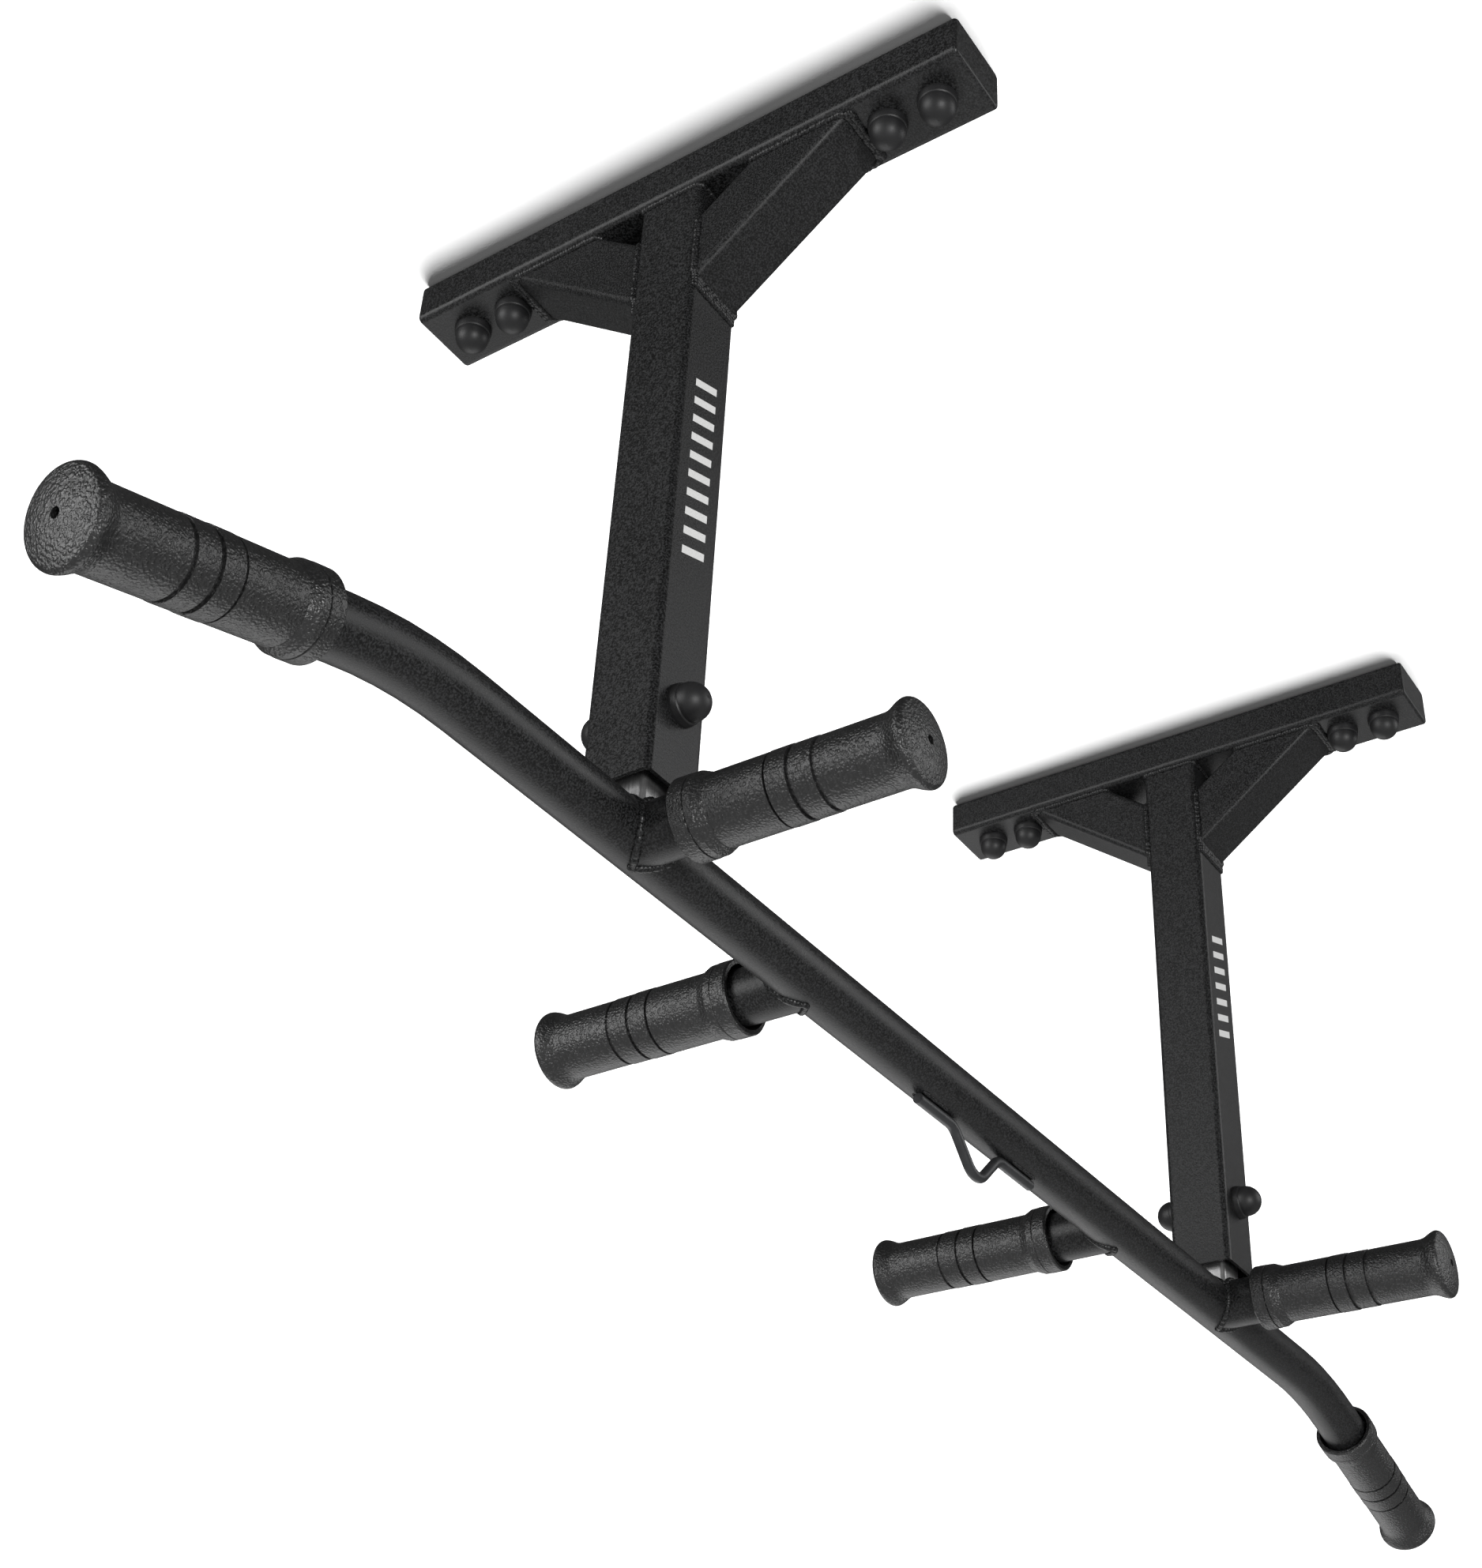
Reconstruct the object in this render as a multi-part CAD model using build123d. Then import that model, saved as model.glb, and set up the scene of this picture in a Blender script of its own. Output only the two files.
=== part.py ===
from build123d import *
import math
import os

os.makedirs("parts", exist_ok=True)

# Driving sizes in mm. The ceiling is the plane z = 0, +Z is up, the bar runs along X and the
# origin lies on the ceiling half way between the two brackets. Front is -Y.
half_span = 315.8            # middle of the bar to the middle of each post
beam_length = 364.0          # ceiling beam, along Y
beam_width = 46.0
beam_height = 28.0
end_plate = 3.0
tube_wall = 2.0
corner_radius = 3.8
post_side = 40.0
post_bottom = 418.0          # open lower end of a post, below the ceiling
brace_side = 37.5
brace_reach = 112.4          # outer toe of a brace on the beam, from the post axis
brace_drop = 99.0            # lower toe of a brace on the post, below the ceiling
stub_side = 25.0
stub_top = 335.0

bar_drop = 440.4             # ceiling to bar axis
bar_radius = 15.0
bar_wall = 2.5
bend_x = 474.8               # where the straight axis would meet the sloping end axis
bend_angle = 17.3
bend_radius = 250.0
end_reach = 173.6            # bend corner to the cut end of the bar
rear_grip_x = 170.5

grip_length = 124.6
collar_radius = 20.2
collar_bore = 17.4
collar_length = 13.0
grip_radius = 17.4
flare_radius = 20.8
vent_radius = 2.3
front_mouth = 31.3           # bar axis to the open mouth of a front side grip
rear_mouth = 37.2
end_mouth = 54.0             # bend corner to the mouth of an end grip

bolt_drop = 372.0            # through bolt, below the ceiling
bolt_radius = 4.0
neck_radius = 3.5            # smooth neck of a ceiling fastener, where it passes through the beam
hole_radius = 4.5
head_flats = 13.0
head_height = 5.3
nut_height = 6.8
cap_floor = 1.6
anchor_y = (158.0, 127.6)    # outer and inner ceiling fasteners
anchor_length = 90.0

rod_radius = 3.0
hook_half_length = 62.0
hook_half_mouth = 24.5
hook_depth = 24.5            # straight axis to where the two sloping legs would meet
hook_bend_radius = 12.0

bead = 2.2                   # weld bead radius
heel_bead = (2.8, 5.8)       # half sizes, along Y and Z, of the wide bead under each brace on the post
toe_bead = (3.2, 2.6)        # the same for the bead at the toe of each brace on the beam

SIDES = (("left", -1), ("right", 1))
ENDS = (("front", -1), ("rear", 1))


def save(name, shape):
    export_step(shape, f"parts/{name}.step")


def square_tube(side_x, side_y, length, radius, wall):
    outer = extrude(RectangleRounded(side_x, side_y, radius), length)
    inner = extrude(RectangleRounded(side_x - 2 * wall, side_y - 2 * wall, radius - wall), length)
    return outer - inner


def rod_along(axis, start, radius, length):
    """Round rod that begins at start and runs along axis."""
    return Plane(origin=start, z_dir=axis) * extrude(Circle(radius), length)


def bead_ring(plane, size_u, size_v, radius=corner_radius):
    """Weld bead laid around a rectangular joint."""
    path = (plane * RectangleRounded(size_u, size_v, radius)).wire()
    start = Plane(origin=path @ 0, z_dir=path % 0)
    return sweep(start * Circle(bead), path=path)


def flat_bead(x, y, z, half_sizes):
    """Wide flat bead along X at one end of a brace, with rounded ends."""
    width = brace_side - 3
    place = Plane(origin=(x - width / 2, y, z), x_dir=(0, 1, 0), z_dir=(1, 0, 0))
    bar = place * extrude(Ellipse(*half_sizes), width)
    return fillet(bar.edges(), 1.0)


# ------------------------------------------------------------------ ceiling brackets
brace_angle = math.atan2(brace_drop - beam_height, brace_reach - post_side / 2)
brace_foot = brace_side / math.sin(brace_angle)      # length of the oblique cut on the beam
brace_heel = brace_side / math.cos(brace_angle)      # height of the oblique cut on the post


def beam(x):
    tube = square_tube(beam_width, beam_height, beam_length - 2 * end_plate, corner_radius, tube_wall)
    tube = Plane(origin=(x, -beam_length / 2 + end_plate, -beam_height / 2),
                 x_dir=(1, 0, 0), z_dir=(0, 1, 0)) * tube
    for y in anchor_y:
        for s in (-1, 1):
            tube -= rod_along((0, 0, 1), (x, s * y, -beam_height - 1), hole_radius, beam_height + 2)
    return tube


def end_plates():
    plates = []
    for _, side in SIDES:
        for _, end in ENDS:
            plate = extrude(RectangleRounded(beam_width, beam_height, corner_radius), end_plate)
            plate = fillet(plate.faces().sort_by(Axis.Z)[-1].edges(), 2.0)
            place = Plane(origin=(side * half_span, end * (beam_length / 2 - end_plate), -beam_height / 2),
                          x_dir=(1, 0, 0), z_dir=(0, end, 0))
            plates.append(place * plate)
    return plates


def post(x):
    tube = square_tube(post_side, post_side, post_bottom - beam_height, corner_radius, tube_wall)
    tube = Pos(x, 0, -post_bottom) * tube
    return tube - rod_along((0, 1, 0), (x, -post_side, -bolt_drop), hole_radius, 2 * post_side)


def brace_bar(x, end, wall=None):
    """Straight square bar on the slope of a brace, before its two ends are cut."""
    along = (0, end * math.cos(brace_angle), math.sin(brace_angle))
    up = (0, -end * math.sin(brace_angle), math.cos(brace_angle))
    toe = Vector(x, end * brace_reach, -beam_height)
    middle = toe + Vector(*up) * (brace_side / 2) - Vector(*along) * 200
    place = Plane(origin=middle, x_dir=(1, 0, 0), z_dir=along)
    if wall:
        return place * square_tube(brace_side, brace_side, 400, corner_radius, wall)
    return place * extrude(RectangleRounded(brace_side, brace_side, corner_radius), 400)


def brace(x, end):
    room = Pos(x, end * (post_side / 2 + 150), -beam_height - 150) * Box(100, 300, 300)
    return brace_bar(x, end, tube_wall) & room


def trimmed(piece, cutters):
    """What is left of a bead outside the tubes it joins, as a list of solids."""
    solids = piece.solids()
    for cutter in cutters:
        solids = [left for solid in solids for left in (solid - cutter).solids()]
    return solids


def bracket_welds(x):
    beads = [bead_ring(Plane(origin=(x, 0, -beam_height)), post_side, post_side)]
    for _, end in ENDS:
        foot_mid = end * (brace_reach - brace_foot / 2)
        foot_plane = Plane(origin=(x, foot_mid, -beam_height))
        toe = flat_bead(x, end * (brace_reach + 0.6), -beam_height, toe_bead)
        beads += [bead_ring(foot_plane, brace_side, brace_foot) - toe, toe]
        heel_mid = -(brace_drop - brace_heel / 2)
        heel_plane = Plane(origin=(x, end * post_side / 2, heel_mid), x_dir=(1, 0, 0), z_dir=(0, end, 0))
        heel = flat_bead(x, end * post_side / 2, -brace_drop - 2.2, heel_bead)
        beads += [bead_ring(heel_plane, brace_side, brace_heel) - heel, heel]
    beam_block = Pos(x, 0, -beam_height / 2) * Box(beam_width + 20, beam_length, beam_height)
    post_block = extrude(RectangleRounded(post_side, post_side, corner_radius), post_bottom - beam_height)
    post_block = Pos(x, 0, -post_bottom) * post_block
    cutters = [beam_block, post_block] + [brace_bar(x, end) for _, end in ENDS]
    return [solid for piece in beads for solid in trimmed(piece, cutters)]


# ------------------------------------------------------------------ bar
def slope(side):
    a = math.radians(bend_angle)
    return Vector(side * math.cos(a), 0, -math.sin(a))


def bar_axis(reach):
    corners = [Vector(side * bend_x, 0, -bar_drop) for side in (-1, 1)]
    tips = [corner + slope(side) * reach for corner, side in zip(corners, (-1, 1))]
    return FilletPolyline(tips[0], corners[0], corners[1], tips[1], radius=bend_radius)


def bent_rod(radius, reach):
    path = bar_axis(reach)
    return sweep(Plane(origin=path @ 0, z_dir=path % 0) * Circle(radius), path=path)


def main_bar():
    return bent_rod(bar_radius, end_reach) - bent_rod(bar_radius - bar_wall, end_reach + 1)


def side_tube(x, end, tip):
    """Handle tube, coped to the bar at one end."""
    start = (x, 0, -bar_drop)
    tube = rod_along((0, end, 0), start, bar_radius, tip)
    tube -= rod_along((0, end, 0), start, bar_radius - bar_wall, tip)
    return tube - rod_along((1, 0, 0), (x - 40, 0, -bar_drop), bar_radius, 80)


def stub(x):
    tube = square_tube(stub_side, stub_side, bar_drop - stub_top, 3.0, tube_wall)
    tube = Pos(x, 0, -bar_drop) * tube
    tube -= rod_along((1, 0, 0), (x - 40, 0, -bar_drop), bar_radius, 80)
    tube -= rod_along((0, -1, 0), (x, 0, -bar_drop), bar_radius, 40)
    tube = tube.solids().sort_by(Axis.Z)[-1]
    return tube - rod_along((0, 1, 0), (x, -30, -bolt_drop), hole_radius, 60)


def saddle_weld(x, end):
    """Bead around the curve where a handle tube meets the bar."""
    grown = bar_radius + 0.8 * bead
    start, bar_start = (x, 0, -bar_drop), (x - 40, 0, -bar_drop)
    sleeve = rod_along((0, end, 0), start, grown, 40) - rod_along((0, end, 0), start, bar_radius, 40)
    jacket = rod_along((1, 0, 0), bar_start, grown + 0.1, 80)
    return (sleeve & jacket) - rod_along((1, 0, 0), bar_start, bar_radius, 80)


def stub_block(x, grow=0.0):
    side = stub_side + grow
    return Pos(x, 0, -bar_drop) * extrude(RectangleRounded(side, side, 3.0 + grow / 2), 30)


def stub_weld(x):
    grown = bar_radius + 0.8 * bead
    along_bar, along_handle = ((1, 0, 0), (x - 40, 0, -bar_drop)), ((0, -1, 0), (x, 0, -bar_drop))
    jacket = rod_along(*along_bar, grown, 80) + rod_along(*along_handle, grown + 0.1, 40)
    ring = stub_block(x, 1.6 * bead) & jacket
    return (ring - rod_along(*along_bar, bar_radius, 80) - rod_along(*along_handle, bar_radius, 40)
            - stub_block(x))


def hook_axis():
    top = -(bar_drop + bar_radius + rod_radius)
    points = [(-hook_half_length, 0, top), (-hook_half_mouth, 0, top), (0, 0, top - hook_depth),
              (hook_half_mouth, 0, top), (hook_half_length, 0, top)]
    return FilletPolyline(*points, radius=hook_bend_radius)


def bag_hook():
    path = hook_axis()
    return sweep(Plane(origin=path @ 0, z_dir=path % 0) * Circle(rod_radius), path=path)


def hook_welds():
    top = -(bar_drop + bar_radius + rod_radius)
    seams = []
    for _, side in SIDES:
        middle = side * (hook_half_length + hook_half_mouth + 6) / 2
        rod = rod_along((1, 0, 0), (middle - 40, 0, top), rod_radius, 80)
        tube = rod_along((1, 0, 0), (middle - 40, 0, -bar_drop), bar_radius, 80)
        block = Pos(middle, 0, top + 2) * Box(22, 6.4, 4)
        seams += trimmed(block, [rod, tube])
    return seams


# ------------------------------------------------------------------ grips
def grip(mouth, axis):
    """Rubber grip: open collar at the mouth, ribbed middle, flared closed end."""
    seam = 8.6
    grooves = ((50.0, 1.0, 0.45), (61.6, 1.8, 0.2), (74.6, 1.8, -0.1))   # place, width, step after it
    groove_floor = grip_radius - 1.0
    outline = [(collar_bore, 0), (collar_radius - 0.8, 0), (collar_radius, 1.0), (collar_radius, seam),
               (collar_radius - 0.6, seam + 0.3), (collar_radius - 0.15, seam + 0.9),
               (collar_radius - 0.25, collar_length), (grip_radius + 0.6, collar_length + 4.6),
               (grip_radius + 0.25, collar_length + 5.2)]
    radius_before = grip_radius + 0.25
    for mark, width, step in grooves:
        outline += [(radius_before, mark), (groove_floor, mark + 0.3),
                    (groove_floor, mark + width), (grip_radius + step, mark + width + 0.3)]
        radius_before = grip_radius + step
    flare_start, flare_top, face_start = 108.0, 118.4, 121.9
    outline.append((radius_before, flare_start))
    skin = Polyline(*outline)
    flare = Spline((radius_before, flare_start), (flare_radius, flare_top),
                   tangents=((0, 1), (0.25, 1)))
    shoulder = Spline((flare_radius, flare_top), (flare_radius - 1.9, face_start),
                      tangents=((0.25, 1), (-1, 0.3)))
    face = Spline((flare_radius - 1.9, face_start), (vent_radius, grip_length),
                  tangents=((-1, 0.3), (-1, 0.02)))
    seat = grip_length - 5.0
    inside = Polyline((vent_radius, grip_length), (vent_radius, seat), (bar_radius, seat),
                      (bar_radius, 14.0), (collar_bore, 13.0), (collar_bore, 0))
    profile = Plane.XZ * make_face([skin, flare, shoulder, face, inside])
    return Plane(origin=mouth, z_dir=axis) * revolve(profile, Axis.Z)


# ------------------------------------------------------------------ fasteners
def hex_head(height, radius=0.0):
    head = extrude(RegularPolygon(head_flats / 2, 6, major_radius=False), height)
    return head - extrude(Circle(radius), height) if radius else head


def bolt(length, neck=0.0, head_chamfer=0.8):
    head = hex_head(head_height)
    rim = Cone(head_flats / 2 + 4, head_flats / 2, 4, align=(Align.CENTER, Align.CENTER, Align.MIN))
    head = head & Pos(0, 0, head_height - 4 + head_chamfer / 2) * rim + (
        extrude(Circle(head_flats), head_height - 4 + head_chamfer / 2) & head)
    shank = Pos(0, 0, -length) * extrude(Circle(bolt_radius), length - neck)
    if neck:
        shank += Pos(0, 0, -neck) * extrude(Circle(neck_radius), neck)
    return head + shank


def cap_base():
    """Washer cup under a bolt head or nut, standing on z = 0."""
    skin = Polyline((bolt_radius, 0), (10.9, 0), (10.9, 1.4), (10.5, 4.2), (10.0, 4.8), (8.6, 4.8),
                    (8.6, cap_floor), (bolt_radius, cap_floor), (bolt_radius, 0))
    return revolve(Plane.XZ * make_face(skin), Axis.Z)


def cap_dome():
    """Snap-on dome that hides the head or nut."""
    outer, inner, middle, skirt = 9.85, 8.2, 6.4, 2.4
    wall = [Line((inner, skirt), (8.6, skirt)), Line((8.6, skirt), (8.6, 4.8)), Line((8.6, 4.8), (outer, 4.8)),
            Line((outer, 4.8), (outer, middle)),
            CenterArc((0, middle), outer, 0, 90),
            Line((0, middle + outer), (0, middle + inner)),
            CenterArc((0, middle), inner, 0, 90),
            Line((inner, middle), (inner, skirt))]
    return revolve(Plane.XZ * make_face(wall), Axis.Z)


def seats():
    """Every place where a capped head or nut sits, as planes that look outwards."""
    places = []
    for _, side in SIDES:
        x = side * half_span
        for _, end in ENDS:
            places.append(Plane(origin=(x, end * post_side / 2, -bolt_drop), x_dir=(1, 0, 0),
                                z_dir=(0, end, 0)))
            for y in anchor_y:
                places.append(Plane(origin=(x, end * y, -beam_height), x_dir=(1, 0, 0), z_dir=(0, 0, -1)))
    return places


through_length = post_side + 2 * cap_floor + nut_height + 2
through_bolts, through_nuts, anchors = [], [], []
for _, side in SIDES:
    x = side * half_span
    front = Plane(origin=(x, -post_side / 2 - cap_floor, -bolt_drop), x_dir=(1, 0, 0), z_dir=(0, -1, 0))
    rear = Plane(origin=(x, post_side / 2 + cap_floor, -bolt_drop), x_dir=(1, 0, 0), z_dir=(0, 1, 0))
    through_bolts.append(front * bolt(through_length))
    through_nuts.append(rear * hex_head(nut_height, bolt_radius))
    for y in anchor_y:
        for _, end in ENDS:
            below = Plane(origin=(x, end * y, -beam_height - cap_floor), x_dir=(1, 0, 0), z_dir=(0, 0, -1))
            anchors.append(below * bolt(anchor_length, neck=beam_height + cap_floor))

# ------------------------------------------------------------------ files
bar_welds = hook_welds()
for name, side in SIDES:
    x = side * half_span
    save(f"ceiling_beam_{name}", beam(x))
    save(f"post_{name}", post(x))
    save(f"stub_tube_{name}", stub(x))
    save(f"weld_beads_bracket_{name}", Compound(bracket_welds(x)))
    for end_name, end in ENDS:
        save(f"brace_{name}_{end_name}", brace(x, end))
    save(f"handle_tube_{name}_front", side_tube(x, -1, front_mouth + grip_length - 5))
    save(f"handle_tube_{name}_rear", side_tube(side * rear_grip_x, 1, rear_mouth + grip_length - 5))
    save(f"grip_{name}_front", grip((x, -front_mouth, -bar_drop), (0, -1, 0)))
    save(f"grip_{name}_rear", grip((side * rear_grip_x, rear_mouth, -bar_drop), (0, 1, 0)))
    corner = Vector(side * bend_x, 0, -bar_drop)
    save(f"grip_{name}_end", grip(corner + slope(side) * end_mouth, slope(side)))
    bar_welds += [saddle_weld(x, -1) - stub_block(x, 1.6 * bead), saddle_weld(side * rear_grip_x, 1),
                  stub_weld(x)]

save("pull_up_bar", main_bar())
save("bag_hook", bag_hook())
save("weld_beads_bar", Compound(bar_welds))
save("beam_end_plates", Compound(end_plates()))
save("through_bolts", Compound(through_bolts))
save("through_nuts", Compound(through_nuts))
save("ceiling_anchors", Compound(anchors))
save("cap_bases", Compound([place * cap_base() for place in seats()]))
save("cap_domes", Compound([place * cap_dome() for place in seats()]))
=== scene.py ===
"""Finishes for a ceiling-mounted pull-up bar: coated tubes, rippled welds, pebbled grips and caps."""

import math

import bpy
from bpy.props import FloatProperty, FloatVectorProperty, IntProperty, PointerProperty
from mathutils import Matrix, Vector


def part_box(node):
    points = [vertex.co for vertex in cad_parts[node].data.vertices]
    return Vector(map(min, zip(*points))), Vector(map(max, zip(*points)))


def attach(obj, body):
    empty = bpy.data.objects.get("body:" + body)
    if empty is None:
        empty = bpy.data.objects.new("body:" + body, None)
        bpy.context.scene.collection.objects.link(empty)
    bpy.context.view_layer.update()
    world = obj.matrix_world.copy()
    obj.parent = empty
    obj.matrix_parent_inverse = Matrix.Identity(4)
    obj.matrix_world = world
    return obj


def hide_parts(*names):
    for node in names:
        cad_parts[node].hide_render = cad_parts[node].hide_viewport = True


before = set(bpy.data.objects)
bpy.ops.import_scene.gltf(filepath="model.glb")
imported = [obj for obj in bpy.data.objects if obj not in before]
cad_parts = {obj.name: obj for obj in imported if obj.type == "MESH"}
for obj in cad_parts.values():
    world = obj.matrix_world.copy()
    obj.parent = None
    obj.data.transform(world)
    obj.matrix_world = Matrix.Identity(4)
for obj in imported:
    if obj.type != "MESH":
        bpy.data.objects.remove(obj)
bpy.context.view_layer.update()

bl_info = {
    "name": "Pull-up bar finishes",
    "version": (1, 0, 0),
    "blender": (4, 5, 0),
    "location": "View3D > Sidebar > Pull-up bar",
    "description": "Finishes, welds and stage for a ceiling-mounted pull-up bar",
    "category": "Object",
}

MM = 0.001
SIDES = ("left", "right")
ENDS = ("front", "rear")
TUBE_CORNER = 3.8 * MM       # outer corner radius of the posts and braces
STUB_CORNER = 3 * MM         # outer corner radius of the stub tubes
LINE_STEP = 1.5 * MM         # spacing of the points of a stub's weld line
HEEL_RUNS = (1.2 * MM, 3.4 * MM, 5.4 * MM)   # runs of the wide weld below the heel of a brace
TOE_RUNS = (0.6 * MM, 2.3 * MM)              # runs of the wide weld past the toe of a brace
SPECULAR = {"coat": 0.36, "rubber": 0.85, "plastic": 0.5}

# Printed bars: number of bars and height of the lowest one on each post, and the sizes of one bar.
MARKS = {"left": (10, -284 * MM), "right": (7, -252 * MM)}
MARK_WIDTH, MARK_RISE, MARK_SLANT, MARK_STEP = 18 * MM, 5 * MM, 6.5 * MM, 12.5 * MM
MARK_LIFT = 0.08 * MM        # height of the ink off the post

# Lamps. Softboxes, front right, rear left and behind, as (direction from the bar, half angle in
# degrees, radiance).
SOFTBOXES = (((0.55, -0.75, 0.36), 18, 1.75),
             ((-0.88, 0.46, 0.08), 19, 3.3),
             ((0.66, 0.6, -0.42), 28, 0.85))
SOFTBOX_DISTANCE = 6.0       # from the bar, in metres
WASH_PLACE, WASH_ANGLE = (1.2, 0.25, -1.7), 58   # the wash shines from there, this many degrees wide
KEY_PLACE, KEY_TARGET, KEY_SIZE = (-1.7, -2.3, -1.1), (0, 0, -0.25), 0.9
CEILING_GAP = 0.3 * MM       # keeps the ceiling clear of the beams' top faces

# The camera: place, then azimuth, elevation and roll in degrees, then lens in mm.
CAMERA_PLACE = (-0.98812, -0.55051, -1.00439)
CAMERA_TURN = (-54.841, -33.850, 2.931)
CAMERA_LENS, CAMERA_SHIFT = 52.064, (-0.02122, 0.02022)

# Lowest and highest corners of the nodes that the welds and marks are placed from.
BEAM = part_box("ceiling_beam_left")
POSTS = {side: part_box(f"post_{side}") for side in SIDES}
BRACES = {(side, end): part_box(f"brace_{side}_{end}") for side in SIDES for end in ENDS}
STUBS = {side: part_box(f"stub_tube_{side}") for side in SIDES}
HANDLES = {(side, end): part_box(f"handle_tube_{side}_{end}") for side in SIDES for end in ENDS}
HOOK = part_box("bag_hook")


def middle(box):
    return (box[0] + box[1]) / 2


BAR_RADIUS = (HANDLES["left", "front"][1].x - HANDLES["left", "front"][0].x) / 2
BAR_HEIGHT = middle(HANDLES["left", "front"]).z


# ------------------------------------------------------------------ sizes and colours
class CoatSettings(bpy.types.PropertyGroup):
    colour: FloatVectorProperty(name="Coat colour", description="Black of the powder coat", size=3,
                                subtype="COLOR", default=(0.0135, 0.0137, 0.0141), min=0, max=1)
    roughness: FloatProperty(name="Roughness", description="Mean roughness of the coat", default=0.41,
                             min=0, max=1)
    grain: FloatProperty(name="Grain", description="Size of one grain of the texture", default=0.95 * MM,
                         unit="LENGTH")
    relief: FloatProperty(name="Relief", description="Height of the grain", default=0.1 * MM,
                          unit="LENGTH")


class WeldSettings(bpy.types.PropertyGroup):
    pitch: FloatProperty(name="Ripple pitch", description="Distance from one ripple to the next",
                         default=1.9 * MM, unit="LENGTH")
    radius: FloatProperty(name="Bead radius", description="Half width of a bead around a tube",
                          default=2.15 * MM, unit="LENGTH")
    wander: FloatProperty(name="Wander", description="How much the ripples differ in size", default=0.17,
                          subtype="FACTOR", min=0, max=1)
    seed: IntProperty(name="Seed", description="Fixes the wander of the ripples", default=7)


class GripSettings(bpy.types.PropertyGroup):
    colour: FloatVectorProperty(name="Rubber colour", description="Black of the grips", size=3,
                                subtype="COLOR", default=(0.0105, 0.0105, 0.0107), min=0, max=1)
    pebble: FloatProperty(name="Pebble", description="Size of one pebble of the grain",
                          default=1.4 * MM, unit="LENGTH")
    relief: FloatProperty(name="Relief", description="Depth of the creases between pebbles",
                          default=0.24 * MM, unit="LENGTH")


class StageSettings(bpy.types.PropertyGroup):
    ceiling: FloatProperty(name="Ceiling size", description="Side of the ceiling", default=14.0,
                           unit="LENGTH")
    floor_drop: FloatProperty(name="Floor drop", description="Ceiling to floor", default=3.2,
                              unit="LENGTH")
    below: FloatProperty(name="Light from below", description="Strength of the studio light from below",
                         default=0.55, min=0)
    above: FloatProperty(name="Light from above", description="Strength of the studio light from above",
                         default=0.1, min=0)
    wash: FloatProperty(name="Ceiling wash", description="Strength of the lamp that lights the ceiling",
                        default=23.0, min=0)
    key_power: FloatProperty(name="Key lamp", description="Power of the lamp on the bar in watts",
                             default=40.0, min=0)


# ------------------------------------------------------------------ nodes
class Value:
    """A number socket. Arithmetic on it adds Math nodes to its tree."""

    def __init__(self, maker, socket):
        self.maker, self.socket = maker, socket

    def math(self, operation, *others):
        return self.maker.value("ShaderNodeMath", {"operation": operation},
                                dict(enumerate((self, *others))))

    def __add__(self, other):
        return self.math("ADD", other)

    def __mul__(self, other):
        return self.math("MULTIPLY", other)

    def __sub__(self, other):
        return self.math("SUBTRACT", other)

    def __rsub__(self, other):
        return (self * -1) + other

    __radd__, __rmul__ = __add__, __mul__

    def ramp(self, low, high):
        """0 below low, 1 above high and smooth in between."""
        settings = {"interpolation_type": "SMOOTHSTEP"}
        return self.maker.value("ShaderNodeMapRange", settings, {"Value": self, "From Min": low,
                                                                 "From Max": high})


class Maker:
    """Adds nodes to one tree."""

    def __init__(self, tree):
        self.tree = tree

    def node(self, kind, settings=None, inputs=None):
        node = self.tree.nodes.new(kind)
        for name, setting in (settings or {}).items():
            setattr(node, name, setting)
        for key, given in (inputs or {}).items():
            given = given.socket if isinstance(given, Value) else given
            if isinstance(given, bpy.types.NodeSocket):
                self.tree.links.new(given, node.inputs[key])
            else:
                node.inputs[key].default_value = given
        return node

    def value(self, kind, settings=None, inputs=None, output=0):
        return Value(self, self.node(kind, settings, inputs).outputs[output])


class Finish(Maker):
    """A material, with the shapes of pattern that the finishes share."""

    def __init__(self, name):
        self.material = bpy.data.materials.new(name)
        self.material.use_nodes = True
        super().__init__(self.material.node_tree)
        self.tree.nodes.clear()
        self.place = self.node("ShaderNodeTexCoord").outputs["Object"]

    def noise(self, size, detail=2.0, roughness=0.5, place=None):
        """Soft noise with features of about that size."""
        inputs = {"Vector": place or self.place, "Scale": 1 / size, "Detail": detail,
                  "Roughness": roughness}
        return self.value("ShaderNodeTexNoise", None, inputs)

    def stretched(self, scale):
        return self.node("ShaderNodeMapping", None, {"Vector": self.place, "Scale": scale}).outputs[0]

    def tint(self, factor, low, high):
        """From colour low to colour high as factor goes from 0 to 1."""
        settings = {"data_type": "RGBA"}
        inputs = {0: factor, 6: (*low, 1), 7: (*high, 1)}
        return self.node("ShaderNodeMix", settings, inputs).outputs[2]

    def bump(self, height, distance):
        inputs = {"Height": height, "Distance": distance}
        return self.node("ShaderNodeBump", None, inputs).outputs[0]

    def surface(self, **sockets):
        """Ends the material in a shader. Underscores in a socket's name stand for spaces."""
        inputs = {name.replace("_", " "): given for name, given in sockets.items()}
        shader = self.node("ShaderNodeBsdfPrincipled", None, inputs)
        self.node("ShaderNodeOutputMaterial", None, {"Surface": shader.outputs[0]})
        return self.material


def scaled(colour, factor):
    return tuple(channel * factor for channel in colour)


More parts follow.
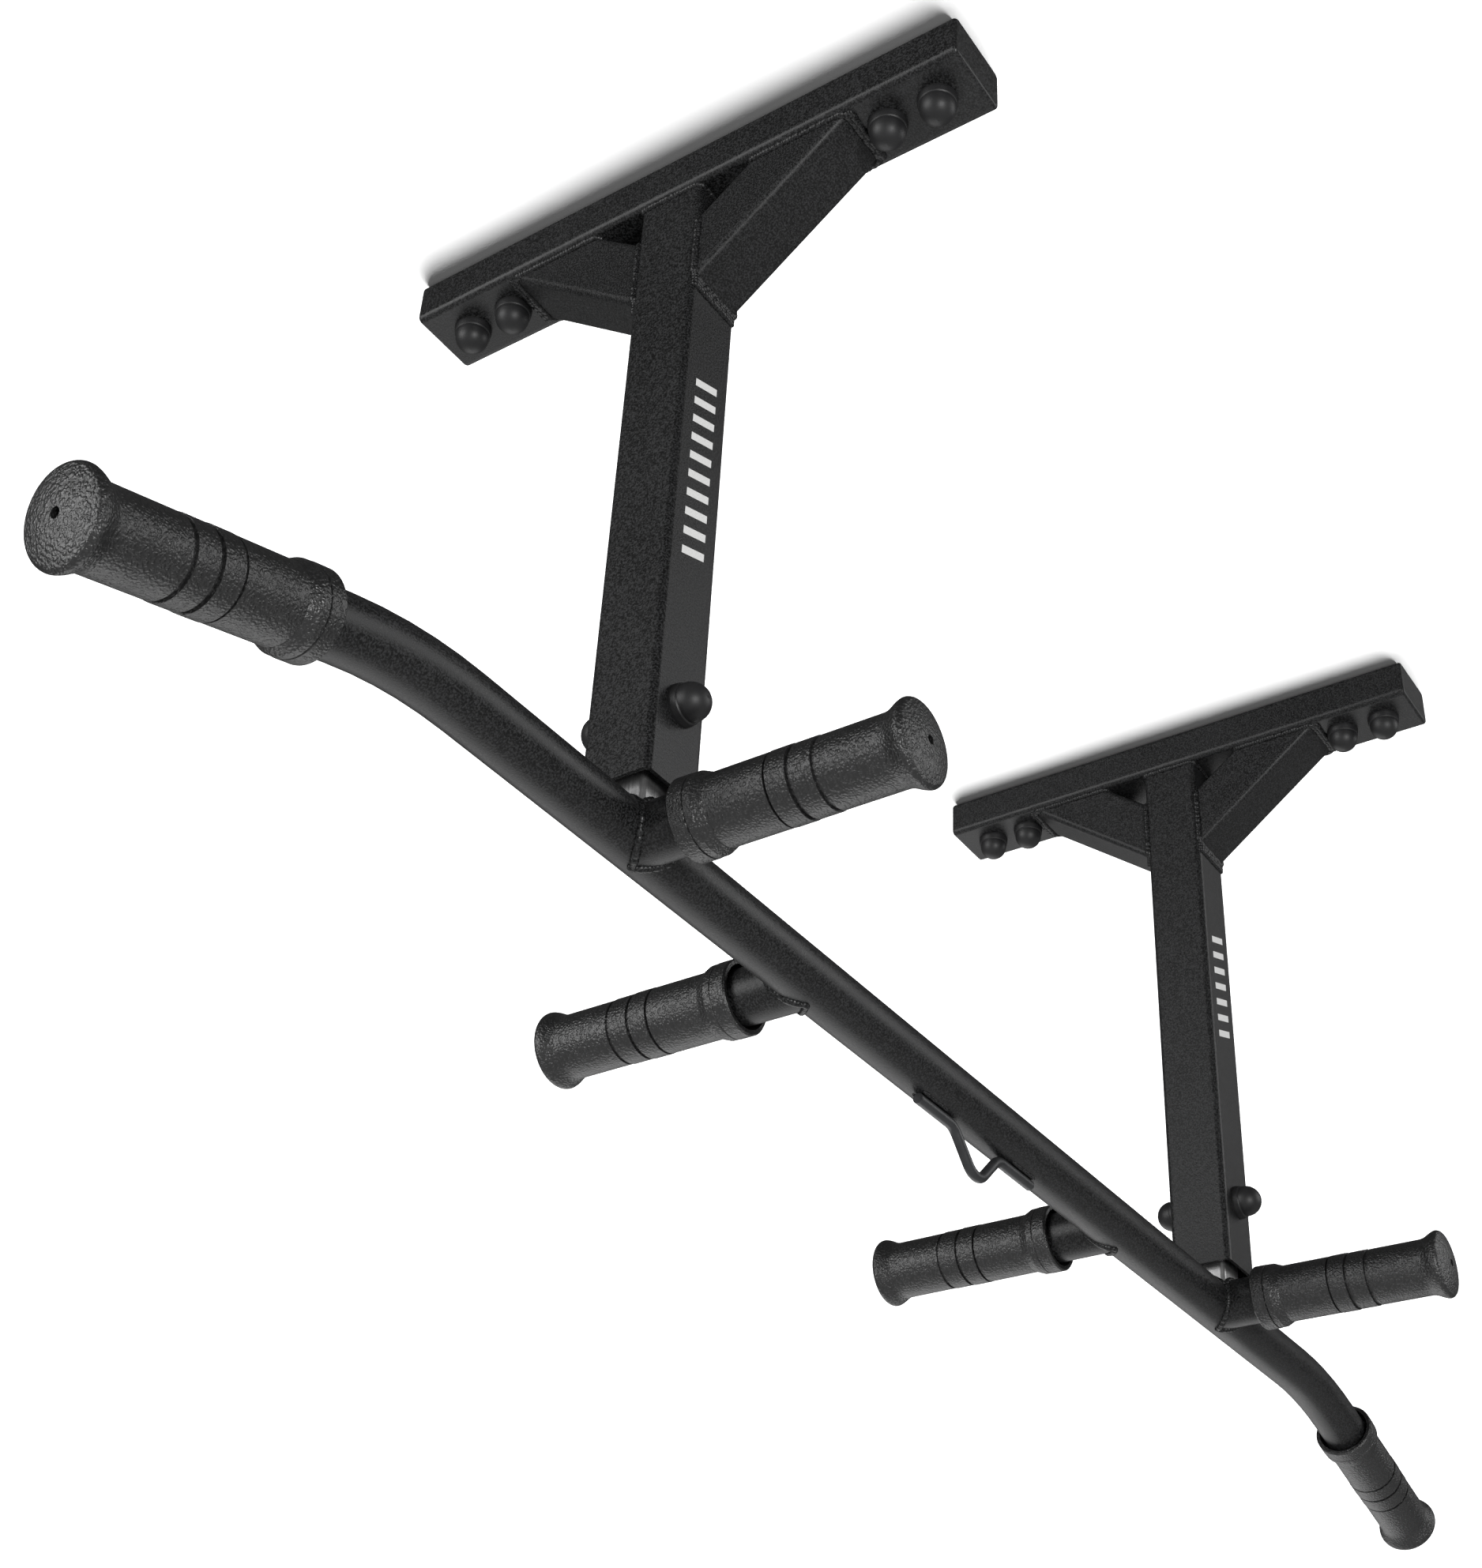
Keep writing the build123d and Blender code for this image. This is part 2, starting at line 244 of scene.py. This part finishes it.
def coat_finish(name, colour, settings, gloss=0.0):
    """Fine-textured satin powder coat."""
    finish = Finish(name)
    grain = finish.noise(settings.grain, 1.5)
    peel = finish.noise(4 * settings.grain, 1.0)
    cloud = finish.noise(90 * MM, 3.0)
    tone = grain.ramp(0.36, 0.72) * 0.85 + cloud * 0.15
    base = finish.tint(tone, scaled(colour, 0.05), scaled(colour, 3.0))
    rough = settings.roughness - gloss + (grain - 0.5) * 0.5 + (cloud - 0.5) * 0.14
    normal = finish.bump(grain + peel * 0.25, settings.relief)
    return finish.surface(Base_Color=base, Roughness=rough, Normal=normal,
                          Specular_IOR_Level=SPECULAR["coat"])


def rubber_finish(settings):
    """Soft black rubber with the creased, pebbled grain of leather; its colour is darkened in the creases
    as painted shade and lightened on the pebble tops as painted highlight.
    """
    finish = Finish("grip_rubber_pebbled")
    pebble = settings.pebble
    drift = finish.node("ShaderNodeTexNoise", None, {"Vector": finish.place, "Scale": 0.5 / pebble,
                                                     "Detail": 1.0}).outputs["Color"]
    bent = finish.node("ShaderNodeVectorMath", {"operation": "MULTIPLY_ADD"},
                       {0: drift, 1: (1.3 * pebble,) * 3, 2: finish.place}).outputs[0]
    cells = finish.value("ShaderNodeTexVoronoi", {"feature": "SMOOTH_F1"},
                         {"Vector": bent, "Scale": 1 / pebble, "Smoothness": 0.35})
    pebble_dome_and_painted_shade = 1 - cells.ramp(0.1, 0.75)
    fine = finish.noise(0.5 * pebble, 1.0)
    worn = finish.noise(22 * MM, 3.0)
    # Painted shade and highlight: the colour goes dark in the creases between pebbles and light on the
    # pebble tops; fine and worn add random tone.
    base = finish.tint(pebble_dome_and_painted_shade * 0.65 + fine * 0.2 + worn * 0.25, scaled(settings.colour, 0.3),
                       scaled(settings.colour, 2.1))
    rough = 0.41 - pebble_dome_and_painted_shade * 0.08 + (worn - 0.5) * 0.14
    normal = finish.bump(pebble_dome_and_painted_shade + fine * 0.7, settings.relief)
    return finish.surface(Base_Color=base, Roughness=rough, Normal=normal,
                          Specular_IOR_Level=SPECULAR["rubber"])


def plastic_finish():
    """Moulded satin plastic with a faint spark-eroded texture."""
    finish = Finish("cap_plastic_moulded")
    grain = finish.noise(0.5 * MM, 1.0)
    cloud = finish.noise(9 * MM, 2.0)
    base = finish.tint(cloud * 0.7 + grain * 0.3, (0.009, 0.009, 0.0095), (0.022, 0.022, 0.023))
    rough = 0.47 + (cloud - 0.5) * 0.12 + (grain - 0.5) * 0.1
    return finish.surface(Base_Color=base, Roughness=rough, Normal=finish.bump(grain, 0.02 * MM),
                          Specular_IOR_Level=SPECULAR["plastic"])


def zinc_finish(name, dark, light, drawn):
    """Dull zinc with soft spangle and faint lines along the drawn direction."""
    finish = Finish(name)
    spangle = finish.value("ShaderNodeTexVoronoi", {"feature": "F1"},
                           {"Vector": finish.place, "Scale": 1 / (3.5 * MM)}, output="Distance")
    lines = finish.noise(0.8 * MM, 2.0, place=finish.stretched(drawn))
    stain = finish.noise(12 * MM, 4.0)
    base = finish.tint(spangle * 0.35 + lines * 0.4 + stain * 0.4, dark, light)
    rough = 0.38 + (lines - 0.5) * 0.25 + (stain - 0.5) * 0.2
    return finish.surface(Base_Color=base, Roughness=rough, Metallic=0.85,
                          Normal=finish.bump(lines + spangle * 0.4, 0.03 * MM))


def hook_finish(settings):
    """Thin gunmetal paint over drawn wire."""
    finish = Finish("hook_gunmetal")
    grain = finish.noise(0.6 * MM, 2.0)
    rub = finish.noise(7 * MM, 3.0)
    base = finish.tint(grain * 0.4 + rub * 0.6, (0.022, 0.0225, 0.024), (0.075, 0.077, 0.08))
    rough = 0.36 + (grain - 0.5) * 0.2 + (rub - 0.5) * 0.2
    return finish.surface(Base_Color=base, Roughness=rough, Metallic=0.3,
                          Normal=finish.bump(grain, settings.relief * 0.6))


def ink_finish():
    """White screen print, slightly thin over the grain of the coat."""
    finish = Finish("mark_ink")
    grain = finish.noise(1.0 * MM, 1.5)
    base = finish.tint(grain.ramp(0.3, 0.6), (0.85, 0.85, 0.84), (0.95, 0.95, 0.94))
    return finish.surface(Base_Color=base, Roughness=0.5 + (grain - 0.5) * 0.2,
                          Normal=finish.bump(grain, 0.03 * MM))


def stage_finish(name, colour):
    """Matte paint that shows from its lit side only, so that the room never hides the bar."""
    finish = Finish(name)
    cloud = finish.noise(0.8, 2.0)
    base = finish.tint(cloud, scaled(colour, 0.985), colour)
    paint = finish.node("ShaderNodeBsdfDiffuse", None, {"Color": base})
    clear = finish.node("ShaderNodeBsdfTransparent")
    behind = finish.node("ShaderNodeNewGeometry").outputs["Backfacing"]
    mixed = finish.node("ShaderNodeMixShader", None, {0: behind, 1: paint.outputs[0],
                                                      2: clear.outputs[0]})
    finish.node("ShaderNodeOutputMaterial", None, {"Surface": mixed.outputs[0]})
    return finish.material


def paint_nodes(material, names):
    for name in names:
        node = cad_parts[name]
        node.data.materials.clear()
        node.data.materials.append(material)


# ------------------------------------------------------------------ geometry nodes
def new_tree(name, sizes):
    """A geometry tree with a geometry input, the named size inputs and a material input."""
    tree = bpy.data.node_groups.new(name, "GeometryNodeTree")
    tree.interface.new_socket("Geometry", in_out="INPUT", socket_type="NodeSocketGeometry")
    for label, kind in sizes.items():
        tree.interface.new_socket(label, in_out="INPUT", socket_type=kind)
    tree.interface.new_socket("Material", in_out="INPUT", socket_type="NodeSocketMaterial")
    tree.interface.new_socket("Geometry", in_out="OUTPUT", socket_type="NodeSocketGeometry")
    maker = Maker(tree)
    return maker, maker.node("NodeGroupInput").outputs


def finish_tree(maker, geometry, material, smooth):
    """Ends a tree in plain, finished geometry."""
    real = maker.node("GeometryNodeRealizeInstances", None, {0: geometry})
    shade = maker.node("GeometryNodeSetShadeSmooth", None, {0: real.outputs[0], "Shade Smooth": smooth})
    coat = maker.node("GeometryNodeSetMaterial", None, {0: shade.outputs[0], "Material": material})
    maker.node("NodeGroupOutput", None, {0: coat.outputs[0]})
    return maker.tree


def grow(name, mesh, tree, values):
    """A plain mesh object made by running a geometry tree on a mesh."""
    piece = bpy.data.objects.new(name, mesh)
    bpy.context.scene.collection.objects.link(piece)
    modifier = piece.modifiers.new("grow", "NODES")
    modifier.node_group = tree
    for item in tree.interface.items_tree:
        if item.in_out == "INPUT" and item.name in values:
            modifier[item.identifier] = values[item.name]
    graph = bpy.context.evaluated_depsgraph_get()
    grown = bpy.data.meshes.new_from_object(piece.evaluated_get(graph), depsgraph=graph)
    piece.modifiers.clear()
    piece.data = grown
    return piece


def ripple_tree():
    """Overlapping flat ripples along each line of a mesh; bead_radius is stored on its points."""
    sizes = {"Pitch": "NodeSocketFloat", "Wander": "NodeSocketFloat", "Seed": "NodeSocketInt"}
    maker, given = new_tree("weld_ripples", sizes)
    line = maker.node("GeometryNodeMeshToCurve", None, {0: given["Geometry"]})
    steps = maker.node("GeometryNodeResampleCurve", {"mode": "LENGTH"},
                       {"Curve": line.outputs[0], "Length": given["Pitch"]})
    radius = maker.value("GeometryNodeInputNamedAttribute", {"data_type": "FLOAT"},
                         {"Name": "bead_radius"})
    jitter = maker.node("FunctionNodeRandomValue", {"data_type": "FLOAT"},
                        {2: -1.0, 3: 1.0, "Seed": given["Seed"]})
    jitter = Value(maker, jitter.outputs[1])
    wander = Value(maker, given["Wander"])
    across = radius * (jitter * wander + 1)
    along = Value(maker, given["Pitch"]) * (jitter * wander + 1.5)
    scale = maker.node("ShaderNodeCombineXYZ", None, {0: across, 1: across, 2: along})
    tangent = maker.node("GeometryNodeInputTangent")
    turn = maker.node("FunctionNodeAlignRotationToVector", {"axis": "Z"},
                      {"Vector": tangent.outputs[0]})
    ripple = maker.node("GeometryNodeMeshUVSphere", None, {"Segments": 10, "Rings": 6, "Radius": 1.0})
    placed = maker.node("GeometryNodeInstanceOnPoints", None,
                        {"Points": steps.outputs[0], "Instance": ripple.outputs[0],
                         "Rotation": turn.outputs[0], "Scale": scale.outputs[0]})
    return finish_tree(maker, placed.outputs[0], given["Material"], True)


def bar_mark_tree():
    """A row of slanted printed bars along Z, on a face that looks along -Y."""
    sizes = {"Count": "NodeSocketInt", "Step": "NodeSocketVector"}
    maker, given = new_tree("printed_bars", sizes)
    row = maker.node("GeometryNodeMeshLine", None, {"Count": given["Count"], "Offset": given["Step"]})
    placed = maker.node("GeometryNodeInstanceOnPoints", None,
                        {"Points": row.outputs[0], "Instance": given["Geometry"]})
    return finish_tree(maker, placed.outputs[0], given["Material"], False)


# ------------------------------------------------------------------ weld lines
def rounded_rectangle(width, height, radius, steps=5):
    """Closed outline in a plane, centred on 0."""
    points = []
    for quarter, (sx, sy) in enumerate(((1, 1), (-1, 1), (-1, -1), (1, -1))):
        for step in range(steps):
            angle = math.radians(90 * (quarter + step / (steps - 1)))
            points.append((sx * (width / 2 - radius) + radius * math.cos(angle),
                           sy * (height / 2 - radius) + radius * math.sin(angle)))
    return points


def bracket_lines(side, radius):
    """Weld lines of one bracket, as (points, bead radius, closed)."""
    lo, hi = POSTS[side]
    x, top, half = (lo.x + hi.x) / 2, BEAM[0].z, (hi.x - lo.x) / 2
    ring = rounded_rectangle(2 * half, 2 * half, TUBE_CORNER)
    lines = [([Vector((x + u, v, top)) for u, v in ring], radius, True)]
    for end, sign in (("front", -1), ("rear", 1)):
        lo, hi = BRACES[side, end]
        reach, drop, width = max(abs(lo.y), abs(hi.y)), -lo.z, hi.x - lo.x
        slope = math.atan2(drop + top, reach - half)
        foot, heel = width / math.sin(slope), width / math.cos(slope)
        ring = rounded_rectangle(width, foot, TUBE_CORNER)
        lines.append(([Vector((x + u, sign * (reach - foot / 2) + v, top)) for u, v in ring],
                      radius, True))
        ring = rounded_rectangle(width, heel, TUBE_CORNER)
        lines.append(([Vector((x + u, sign * half, heel / 2 - drop + v)) for u, v in ring],
                      radius, True))
        span = (width - 5 * MM) / 2
        for run in HEEL_RUNS:
            lines.append(([Vector((x + s * span, sign * half, -drop - run)) for s in (-1, 1)],
                          radius, False))
        for run in TOE_RUNS:
            lines.append(([Vector((x + s * span, sign * (reach + run), top)) for s in (-1, 1)],
                          radius, False))
    return lines


def saddle_line(x, sign, keep=lambda u, height: True):
    """Where a handle tube meets the bar."""
    points = []
    for step in range(97):
        angle = 2 * math.pi * step / 96
        u, height = BAR_RADIUS * math.sin(angle), BAR_RADIUS * math.cos(angle)
        if keep(u, height):
            points.append(Vector((x + u, sign * abs(u), BAR_HEIGHT + height)))
    return points


def over_tubes(x, u, v):
    """Point of a stub's foot, on the bar or on the front handle tube, whichever is higher."""
    over_bar = math.sqrt(max(BAR_RADIUS ** 2 - v ** 2, 0))
    over_handle = math.sqrt(max(BAR_RADIUS ** 2 - u ** 2, 0)) if v < 0 else 0
    return Vector((x + u, v, BAR_HEIGHT + max(over_bar, over_handle)))


def stub_line(side, width):
    """Foot of a stub tube. Its straight sides follow the round tubes in short steps."""
    x = middle(STUBS[side]).x
    corners = [over_tubes(x, u, v) for u, v in rounded_rectangle(width, width, STUB_CORNER, 6)]
    line = []
    for a, b in zip(corners, corners[1:] + corners[:1]):
        pieces = max(1, round((b - a).length / LINE_STEP))
        for piece in range(pieces):
            point = a.lerp(b, piece / pieces)
            line.append(over_tubes(x, point.x - x, point.y))
    return line


def bar_lines(radius):
    """Weld lines along the bar: handle tubes, stub tubes and the hook."""
    lines = []
    for side in SIDES:
        width = STUBS[side][1].x - STUBS[side][0].x
        x = middle(HANDLES[side, "front"]).x
        under = saddle_line(x, -1, lambda u, height: height < 0 or abs(u) > width / 2 + MM)
        split = next((i for i in range(1, len(under)) if (under[i] - under[i - 1]).length > 4 * MM), 0)
        lines.append((under[split:] + under[1:split] if split else under, radius, False))
        lines.append((saddle_line(middle(HANDLES[side, "rear"]).x, 1)[:-1], radius, True))
        lines.append((stub_line(side, width + radius * 0.6), 0.8 * radius, True))
    rod = (HOOK[1].y - HOOK[0].y) / 2
    outer = HOOK[1].x
    for sign in (-1, 1):
        for edge in (-1, 1):
            y = edge * (rod + 0.2 * MM)
            z = BAR_HEIGHT - math.sqrt(BAR_RADIUS ** 2 - y ** 2)
            lines.append(([Vector((sign * outer * share, y, z)) for share in (0.62, 0.95)],
                          0.55 * radius, False))
    return lines


def line_mesh(name, lines):
    """One mesh of open and closed lines, with the bead radius stored on its points."""
    points, edges, radii = [], [], []
    for line, radius, closed in lines:
        first = len(points)
        points += line
        radii += [radius] * len(line)
        edges += [(first + i, first + i + 1) for i in range(len(line) - 1)]
        if closed:
            edges.append((first + len(line) - 1, first))
    mesh = bpy.data.meshes.new(name)
    mesh.from_pydata(points, edges, [])
    mesh.attributes.new("bead_radius", "FLOAT", "POINT").data.foreach_set("value", radii)
    return mesh


# ------------------------------------------------------------------ operators
class OBJECT_OT_coat_tubes(bpy.types.Operator):
    """Powder coats the brackets, the bar and the handle tubes"""
    bl_idname = "object.coat_tubes"
    bl_label = "Coat tubes"

    def execute(self, context):
        coat = context.scene.bar_coat
        finish = coat_finish("powder_coat_black", coat.colour, coat)
        names = [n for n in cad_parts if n.startswith(("ceiling_beam", "beam_end", "post_", "brace_",
                                                            "handle_tube", "pull_up_bar"))]
        paint_nodes(finish, names)
        return {"FINISHED"}


class OBJECT_OT_lay_welds(bpy.types.Operator):
    """Lays rippled weld beads around every joint"""
    bl_idname = "object.lay_welds"
    bl_label = "Lay welds"

    def execute(self, context):
        weld, coat = context.scene.bar_weld, context.scene.bar_coat
        finish = coat_finish("powder_coat_weld", coat.colour, coat, gloss=0.06)
        tree = ripple_tree()
        runs = {f"weld_beads_bracket_{side}": bracket_lines(side, weld.radius) for side in SIDES}
        runs["weld_beads_bar"] = bar_lines(weld.radius)
        for node, lines in runs.items():
            name = node.replace("beads", "ripples")
            values = {"Pitch": weld.pitch, "Wander": weld.wander, "Seed": weld.seed, "Material": finish}
            piece = grow(name, line_mesh(name, lines), tree, values)
            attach(piece, "root")
            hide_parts(node)
        return {"FINISHED"}


class OBJECT_OT_finish_grips(bpy.types.Operator):
    """Gives the grips their pebbled rubber"""
    bl_idname = "object.finish_grips"
    bl_label = "Finish grips"

    def execute(self, context):
        finish = rubber_finish(context.scene.bar_grip)
        paint_nodes(finish, [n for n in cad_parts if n.startswith("grip_")])
        return {"FINISHED"}


class OBJECT_OT_finish_fittings(bpy.types.Operator):
    """Finishes the caps, the bolts, the stub tubes and the hook"""
    bl_idname = "object.finish_fittings"
    bl_label = "Finish fittings"

    def execute(self, context):
        paint_nodes(plastic_finish(), ["cap_bases", "cap_domes"])
        stub = zinc_finish("stub_zinc", (0.2, 0.2, 0.2), (0.5, 0.5, 0.5), (1, 1, 0.05))
        paint_nodes(stub, ["stub_tube_left", "stub_tube_right"])
        plated = zinc_finish("bolt_zinc", (0.3, 0.3, 0.31), (0.6, 0.6, 0.61), (1, 1, 1))
        paint_nodes(plated, ["through_bolts", "through_nuts", "ceiling_anchors"])
        paint_nodes(hook_finish(context.scene.bar_coat), ["bag_hook"])
        return {"FINISHED"}


class OBJECT_OT_print_marks(bpy.types.Operator):
    """Prints a plain row of slanted bars on the front of each post"""
    bl_idname = "object.print_marks"
    bl_label = "Print marks"

    def execute(self, context):
        finish = ink_finish()
        tree = bar_mark_tree()
        for side, (count, low) in MARKS.items():
            lo, hi = POSTS[side]
            x, y = (lo.x + hi.x) / 2, lo.y - MARK_LIFT
            left, right = x - MARK_WIDTH / 2, x + MARK_WIDTH / 2
            corners = [(left, y, low), (right, y, low + MARK_SLANT),
                       (right, y, low + MARK_SLANT + MARK_RISE), (left, y, low + MARK_RISE)]
            name = f"printed_mark_{side}"
            bar = bpy.data.meshes.new(name)
            bar.from_pydata(corners, [], [(0, 1, 2, 3)])
            values = {"Count": count, "Step": (0, 0, MARK_STEP), "Material": finish}
            piece = grow(name, bar, tree, values)
            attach(piece, "root")
        return {"FINISHED"}


def add_plane(name, size, height, faces_up, finish):
    half = size / 2
    corners = [(-half, -half, height), (half, -half, height), (half, half, height), (-half, half, height)]
    mesh = bpy.data.meshes.new(name)
    mesh.from_pydata(corners, [], [(0, 1, 2, 3) if faces_up else (3, 2, 1, 0)])
    mesh.materials.append(finish)
    plane = bpy.data.objects.new(name, mesh)
    bpy.context.scene.collection.objects.link(plane)
    return plane


def add_lamp(lamp, place, target):
    """Stands a lamp at place and turns it to target."""
    shown = bpy.data.objects.new(lamp.name, lamp)
    shown.location = place
    shown.rotation_euler = (Vector(target) - Vector(place)).to_track_quat("-Z", "Y").to_euler()
    shown.visible_camera = False
    bpy.context.scene.collection.objects.link(shown)
    return shown


def add_key(place, target, size, power):
    lamp = bpy.data.lights.new("key", "AREA")
    lamp.shape, lamp.size, lamp.energy = "SQUARE", size, power
    add_lamp(lamp, place, target)


def add_softbox(direction, half_angle, radiance):
    """Round lamp far off in one direction, as wide as its half angle."""
    radius = SOFTBOX_DISTANCE * math.tan(math.radians(half_angle))
    lamp = bpy.data.lights.new("softbox", "AREA")
    lamp.shape, lamp.size = "DISK", 2 * radius
    lamp.energy = 4 * radiance * math.pi * radius ** 2
    target = Vector((0, 0, BAR_HEIGHT))
    add_lamp(lamp, target + SOFTBOX_DISTANCE * Vector(direction).normalized(), target)


def add_wash(place, strength, ceiling):
    """Lights the ceiling alone, past the ceiling beams, which give it their soft contact shadows."""
    lamp = bpy.data.lights.new("wash", "SUN")
    lamp.energy, lamp.angle = strength, math.radians(WASH_ANGLE)
    linking = add_lamp(lamp, place, (0, 0, 0)).light_linking
    linking.receiver_collection = bpy.data.collections.new("washed")
    linking.receiver_collection.objects.link(ceiling)
    linking.blocker_collection = bpy.data.collections.new("shades")
    for side in SIDES:
        linking.blocker_collection.objects.link(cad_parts[f"ceiling_beam_{side}"])


def build_world(scene, stage):
    """Soft light that is strong from below and weak from above."""
    world = bpy.data.worlds.new("studio")
    world.use_nodes = True
    maker = Maker(world.node_tree)
    world.node_tree.nodes.clear()
    way = maker.node("ShaderNodeTexCoord").outputs["Generated"]
    height = maker.value("ShaderNodeSeparateXYZ", None, {0: way}, output=2)
    strength = (1 - height.ramp(-0.7, 0.15)) * (stage.below - stage.above) + stage.above
    light = maker.node("ShaderNodeBackground", None, {"Strength": strength})
    maker.node("ShaderNodeOutputWorld", None, {"Surface": light.outputs[0]})
    scene.world = world


class SCENE_OT_build_stage(bpy.types.Operator):
    """Adds the ceiling, the floor, the lamps and the camera"""
    bl_idname = "scene.build_stage"
    bl_label = "Build stage"

    def execute(self, context):
        stage = context.scene.bar_stage
        paint = stage_finish("ceiling_paint", (0.25,) * 3)
        ceiling = add_plane("ceiling", stage.ceiling, CEILING_GAP, False, paint)
        floor = add_plane("floor", stage.ceiling, -stage.floor_drop, True,
                          stage_finish("floor_paint", (0.8,) * 3))
        for plane in (ceiling, floor):
            plane.visible_diffuse = plane.visible_glossy = False
            plane.visible_shadow = False
        build_world(context.scene, stage)
        add_wash(WASH_PLACE, stage.wash, ceiling)
        for softbox in SOFTBOXES:
            add_softbox(*softbox)
        add_key(KEY_PLACE, KEY_TARGET, KEY_SIZE, stage.key_power)
        context.scene.view_settings.view_transform = "Standard"
        add_camera(context.scene)
        return {"FINISHED"}


def add_camera(scene):
    """Looks up at the bar from below its left front end."""
    azimuth, elevation, roll = (math.radians(a) for a in CAMERA_TURN)
    back = Vector((math.sin(azimuth) * math.cos(elevation), -math.cos(azimuth) * math.cos(elevation),
                   math.sin(elevation)))
    level = (-back).cross(Vector((0, 0, 1))).normalized()
    upright = level.cross(-back)
    right = math.cos(roll) * level + math.sin(roll) * upright
    up = math.cos(roll) * upright - math.sin(roll) * level
    lens = bpy.data.cameras.new("camera")
    lens.sensor_width, lens.sensor_fit = 36.0, "AUTO"
    lens.lens = CAMERA_LENS
    lens.shift_x, lens.shift_y = CAMERA_SHIFT
    lens.clip_start, lens.clip_end = 0.05, 50
    camera = bpy.data.objects.new("camera", lens)
    turn = Matrix((right, up, back)).transposed().to_4x4()
    camera.matrix_world = Matrix.Translation(CAMERA_PLACE) @ turn
    scene.collection.objects.link(camera)
    scene.camera = camera


class VIEW3D_PT_pull_up_bar(bpy.types.Panel):
    """Lists the steps and their sizes"""
    bl_label = "Pull-up bar"
    bl_space_type = "VIEW_3D"
    bl_region_type = "UI"
    bl_category = "Pull-up bar"

    def draw(self, context):
        for group, names in GROUPS.items():
            box = self.layout.box()
            for name in names:
                box.prop(getattr(context.scene, group), name)
        for operator in STEPS:
            self.layout.operator(operator.bl_idname)


GROUPS = {"bar_coat": ("colour", "roughness", "grain", "relief"),
          "bar_weld": ("pitch", "radius", "wander", "seed"),
          "bar_grip": ("colour", "pebble", "relief"),
          "bar_stage": ("ceiling", "floor_drop", "below", "above", "wash", "key_power")}
SETTINGS = {"bar_coat": CoatSettings, "bar_weld": WeldSettings, "bar_grip": GripSettings,
            "bar_stage": StageSettings}
STEPS = (OBJECT_OT_coat_tubes, OBJECT_OT_lay_welds, OBJECT_OT_finish_grips, OBJECT_OT_finish_fittings,
         OBJECT_OT_print_marks, SCENE_OT_build_stage)


def register():
    for group in (*SETTINGS.values(), *STEPS, VIEW3D_PT_pull_up_bar):
        bpy.utils.register_class(group)
    for name, group in SETTINGS.items():
        setattr(bpy.types.Scene, name, PointerProperty(type=group))


def unregister():
    for name in SETTINGS:
        delattr(bpy.types.Scene, name)
    for group in reversed((*SETTINGS.values(), *STEPS, VIEW3D_PT_pull_up_bar)):
        bpy.utils.unregister_class(group)


def main():
    register()
    bpy.ops.object.coat_tubes()
    bpy.ops.object.lay_welds()
    bpy.ops.object.finish_grips()
    bpy.ops.object.finish_fittings()
    bpy.ops.object.print_marks()
    bpy.ops.scene.build_stage()


if __name__ == "__main__":
    main()
